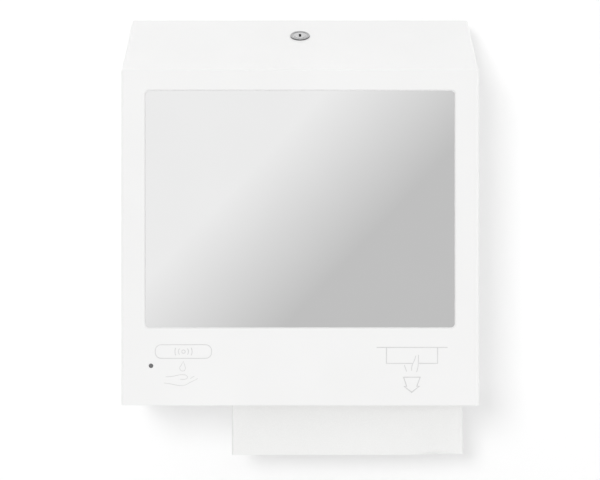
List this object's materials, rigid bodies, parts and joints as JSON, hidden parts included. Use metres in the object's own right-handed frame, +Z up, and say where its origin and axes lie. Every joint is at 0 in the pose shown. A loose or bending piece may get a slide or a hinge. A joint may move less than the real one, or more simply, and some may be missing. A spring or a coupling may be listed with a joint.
{
  "type": "towel and soap dispenser",
  "caption": "White wall dispenser with a mirror in its locking hinged cover: folded paper towels pull from a slot below, and a touch-free pump gives soap.",
  "frame": {"origin": "middle of the four wall screw holes, on the wall plane", "axes": "+X to the viewer's right, +Y into the wall, +Z up; the front faces -Y"},
  "size_m": [0.37, 0.1354, 0.475],
  "materials": {
    "painted_white": "satin powder coat",
    "painted_grey": "satin powder coat",
    "zinc_steel": "zinc plated",
    "lock_chrome": "satin chrome",
    "mirror_silver": "polished",
    "white_plastic": "fine matte",
    "grey_plastic": "fine matte",
    "dark_plastic": "fine matte",
    "tank_plastic": "translucent",
    "clear_plastic": "clear",
    "black_rubber": "matte",
    "hose_silicone": "translucent silicone",
    "paper_white": "embossed",
    "gear_nylon": "satin",
    "rotor_red": "satin",
    "bush_brass": "turned",
    "board_green": "lacquered",
    "cell_wrap": "wrapped",
    "led_lens": "smoked",
    "cable_black": "sheathed"
  },
  "bodies": {
    "base": {"back_plate": "painted_grey", "bottom_tray": "painted_white", "sheet_screws": "zinc_steel", "hinge_pins": "zinc_steel", "hinge_washers": "white_plastic", "lock_striker": "zinc_steel", "divider_panel": "painted_grey", "right_guide": "painted_grey", "towel_chute": "white_plastic", "towel_stack": "paper_white", "tank_shelf": "painted_grey", "soap_tank": "tank_plastic", "lid_pin": "zinc_steel", "outlet_cap": "dark_plastic", "neck_washer": "black_rubber", "pump_hose": "hose_silicone", "pump_chassis": "dark_plastic", "chassis_screws": "zinc_steel", "pump_housing": "grey_plastic", "pump_window": "clear_plastic", "small_screws": "zinc_steel", "gear_plate": "grey_plastic", "shaft_bushes": "bush_brass", "motor": "zinc_steel", "control_box": "dark_plastic", "control_lid": "grey_plastic", "control_board": "board_green", "status_led": "led_lens", "nozzle": "white_plastic", "sensor_window": "led_lens", "sensor_holder": "dark_plastic", "sensor_eyes": "led_lens", "battery_box": "dark_plastic", "battery_cells": "cell_wrap", "battery_contacts": "zinc_steel", "door_pins": "zinc_steel", "battery_cable": "cable_black", "motor_cable": "cable_black"},
    "cover": {"front_cover": "painted_white", "mirror_glass": "mirror_silver", "mirror_tape": "black_rubber", "mirror_clips": "zinc_steel", "status_lens": "led_lens", "lock_barrel": "lock_chrome", "lock_nut": "zinc_steel"},
    "lock": {"lock_core": "lock_chrome", "lock_cam": "zinc_steel", "cam_screw": "zinc_steel"},
    "tank_lid": {"tank_lid": "white_plastic", "lid_seal": "black_rubber"},
    "rotor": {"pump_rotor": "rotor_red", "rotor_shaft": "zinc_steel", "rotor_gear": "gear_nylon"},
    "roller_1": {"roller_1": "white_plastic"},
    "roller_2": {"roller_2": "white_plastic"},
    "roller_3": {"roller_3": "white_plastic"},
    "pinion": {"motor_pinion": "bush_brass"},
    "towel": {"hanging_towel": "paper_white"},
    "switch": {"power_switch": "rotor_red"},
    "battery_door": {"battery_door": "grey_plastic"}
  },
  "joints": [
    {"name": "cover_hinge", "type": "hinge", "parent": "base", "child": "cover", "pos_m": [0, -0.118, -0.22], "axis": [1, 0, 0], "range_deg": [0, 95]},
    {"name": "lock_turn", "type": "hinge", "parent": "cover", "child": "lock", "pos_m": [0, -0.071, 0.159], "axis": [0, 0.5665, -0.824], "range_deg": [0, 90]},
    {"name": "tank_lid_hinge", "type": "hinge", "parent": "base", "child": "tank_lid", "pos_m": [-0.1305, -0.0155, 0.067], "axis": [-1, 0, 0], "range_deg": [0, 95]},
    {"name": "rotor_spin", "type": "hinge", "parent": "base", "child": "rotor", "pos_m": [-0.146, -0.074, -0.166], "axis": [0, 1, 0], "continuous": true},
    {"name": "motor_spin", "type": "hinge", "parent": "base", "child": "pinion", "pos_m": [-0.116, -0.055, -0.166], "axis": [0, 1, 0], "continuous": true},
    {"name": "roller_1_spin", "type": "hinge", "parent": "rotor", "child": "roller_1", "pos_m": [-0.146, -0.074, -0.1558], "axis": [0, 1, 0], "continuous": true},
    {"name": "roller_2_spin", "type": "hinge", "parent": "rotor", "child": "roller_2", "pos_m": [-0.15483, -0.074, -0.1711], "axis": [0, 1, 0], "continuous": true},
    {"name": "roller_3_spin", "type": "hinge", "parent": "rotor", "child": "roller_3", "pos_m": [-0.13717, -0.074, -0.1711], "axis": [0, 1, 0], "continuous": true},
    {"name": "towel_pull", "type": "slide", "parent": "base", "child": "towel", "axis": [0, 0, -1], "range_m": [0, 0.055]},
    {"name": "switch_slide", "type": "slide", "parent": "base", "child": "switch", "axis": [1, 0, 0], "range_m": [0, 0.004]},
    {"name": "battery_door_hinge", "type": "hinge", "parent": "base", "child": "battery_door", "pos_m": [0.1145, -0.0337, 0.1052], "axis": [1, 0, 0], "range_deg": [0, 90]}
  ],
  "couplings": [
    {"joint": "motor_spin", "follows": "rotor_spin", "ratio": -4},
    {"joint": "roller_1_spin", "follows": "rotor_spin", "ratio": -3.625},
    {"joint": "roller_2_spin", "follows": "rotor_spin", "ratio": -3.625},
    {"joint": "roller_3_spin", "follows": "rotor_spin", "ratio": -3.625}
  ]
}
